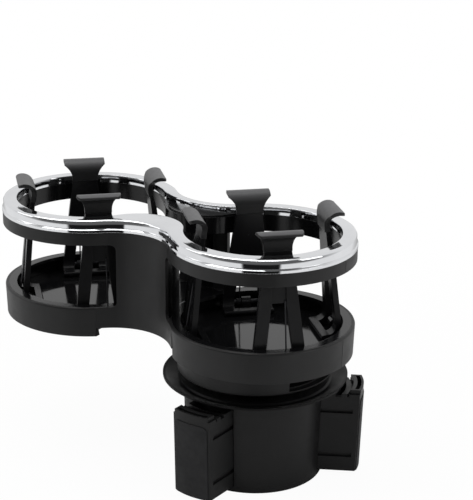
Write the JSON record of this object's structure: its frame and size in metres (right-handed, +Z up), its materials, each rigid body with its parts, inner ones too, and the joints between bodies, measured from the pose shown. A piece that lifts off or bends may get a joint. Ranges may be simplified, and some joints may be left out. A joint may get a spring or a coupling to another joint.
{
  "type": "cup holder",
  "caption": "Dual car cup holder: two open ring-and-tray cups with sprung grip fingers, swivelling on a round base whose wings spread to grip a console well.",
  "frame": {"origin": "centre of the base's underside, on the axis that the holder swivels on", "axes": "+Z up, +X from the far cup towards the cup over the base, so the holder's long axis is X"},
  "size_m": [0.2124, 0.107, 0.1434],
  "materials": {
    "shell": "satin",
    "trim": "polished",
    "floor": "glossy",
    "arm": "glossy",
    "head": "matte",
    "base": "satin",
    "pad": "matte",
    "steel": "bright"
  },
  "bodies": {
    "base": {"base_shell": "base", "bottom_cap": "base", "cap_screws": "steel", "swivel_bolt": "steel", "swivel_washer": "steel", "swivel_nut": "steel"},
    "collar": {"collar": "base"},
    "holder": {"holder_shell": "shell", "chrome_trim": "trim", "left_floor": "floor", "right_floor": "floor", "left_pins": "steel", "right_pins": "steel", "swivel_neck": "shell", "neck_screws": "steel"},
    "wing_1": {"wing_1": "base", "wing_pad_1": "pad"},
    "wing_2": {"wing_2": "base", "wing_pad_2": "pad"},
    "wing_3": {"wing_3": "base", "wing_pad_3": "pad"},
    "left_finger_1": {"finger_left_1": "arm", "head_left_1": "head", "spring_left_1": "steel"},
    "left_finger_2": {"finger_left_2": "arm", "head_left_2": "head", "spring_left_2": "steel"},
    "left_finger_3": {"finger_left_3": "arm", "head_left_3": "head", "spring_left_3": "steel"},
    "left_finger_4": {"finger_left_4": "arm", "head_left_4": "head", "spring_left_4": "steel"},
    "right_finger_1": {"finger_right_1": "arm", "head_right_1": "head", "spring_right_1": "steel"},
    "right_finger_2": {"finger_right_2": "arm", "head_right_2": "head", "spring_right_2": "steel"},
    "right_finger_3": {"finger_right_3": "arm", "head_right_3": "head", "spring_right_3": "steel"},
    "right_finger_4": {"finger_right_4": "arm", "head_right_4": "head", "spring_right_4": "steel"}
  },
  "joints": [
    {"name": "collar_turn", "type": "hinge", "parent": "base", "child": "collar", "pos_m": [0, 0, 0.052], "axis": [0, 0, 1], "range_deg": [-120, 0]},
    {"name": "holder_swivel", "type": "hinge", "parent": "base", "child": "holder", "pos_m": [0, 0, 0.058], "axis": [0, 0, 1], "continuous": true},
    {"name": "wing_1_slide", "type": "slide", "parent": "base", "child": "wing_1", "axis": [-0.0436, -0.999, 0], "range_m": [-0.02, 0]},
    {"name": "wing_2_slide", "type": "slide", "parent": "base", "child": "wing_2", "axis": [0.887, 0.4617, 0], "range_m": [-0.02, 0]},
    {"name": "wing_3_slide", "type": "slide", "parent": "base", "child": "wing_3", "axis": [-0.8434, 0.5373, 0], "range_m": [-0.02, 0]},
    {"name": "left_finger_1_tilt", "type": "hinge", "parent": "holder", "child": "left_finger_1", "pos_m": [-0.08071, 0.02779, 0.079], "axis": [-0.7071, 0.7071, 0], "range_deg": [0, 5], "stiffness_Nm_per_rad": 0.4, "springref_deg": -11.46},
    {"name": "left_finger_2_tilt", "type": "hinge", "parent": "holder", "child": "left_finger_2", "pos_m": [-0.13629, 0.02779, 0.079], "axis": [-0.7071, -0.7071, 0], "range_deg": [0, 5], "stiffness_Nm_per_rad": 0.4, "springref_deg": -11.46},
    {"name": "left_finger_3_tilt", "type": "hinge", "parent": "holder", "child": "left_finger_3", "pos_m": [-0.13629, -0.02779, 0.079], "axis": [0.7071, -0.7071, 0], "range_deg": [0, 5], "stiffness_Nm_per_rad": 0.4, "springref_deg": -11.46},
    {"name": "left_finger_4_tilt", "type": "hinge", "parent": "holder", "child": "left_finger_4", "pos_m": [-0.08071, -0.02779, 0.079], "axis": [0.7071, 0.7071, 0], "range_deg": [0, 5], "stiffness_Nm_per_rad": 0.4, "springref_deg": -11.46},
    {"name": "right_finger_1_tilt", "type": "hinge", "parent": "holder", "child": "right_finger_1", "pos_m": [0.03129, 0.02779, 0.079], "axis": [-0.7071, 0.7071, 0], "range_deg": [0, 5], "stiffness_Nm_per_rad": 0.4, "springref_deg": -11.46},
    {"name": "right_finger_2_tilt", "type": "hinge", "parent": "holder", "child": "right_finger_2", "pos_m": [-0.02429, 0.02779, 0.079], "axis": [-0.7071, -0.7071, 0], "range_deg": [0, 5], "stiffness_Nm_per_rad": 0.4, "springref_deg": -11.46},
    {"name": "right_finger_3_tilt", "type": "hinge", "parent": "holder", "child": "right_finger_3", "pos_m": [-0.02429, -0.02779, 0.079], "axis": [0.7071, -0.7071, 0], "range_deg": [0, 5], "stiffness_Nm_per_rad": 0.4, "springref_deg": -11.46},
    {"name": "right_finger_4_tilt", "type": "hinge", "parent": "holder", "child": "right_finger_4", "pos_m": [0.03129, -0.02779, 0.079], "axis": [0.7071, 0.7071, 0], "range_deg": [0, 5], "stiffness_Nm_per_rad": 0.4, "springref_deg": -11.46}
  ],
  "couplings": [
    {"joint": "wing_1_slide", "follows": "collar_turn", "m_per_rad": 0.009549},
    {"joint": "wing_2_slide", "follows": "collar_turn", "m_per_rad": 0.009549},
    {"joint": "wing_3_slide", "follows": "collar_turn", "m_per_rad": 0.009549}
  ]
}
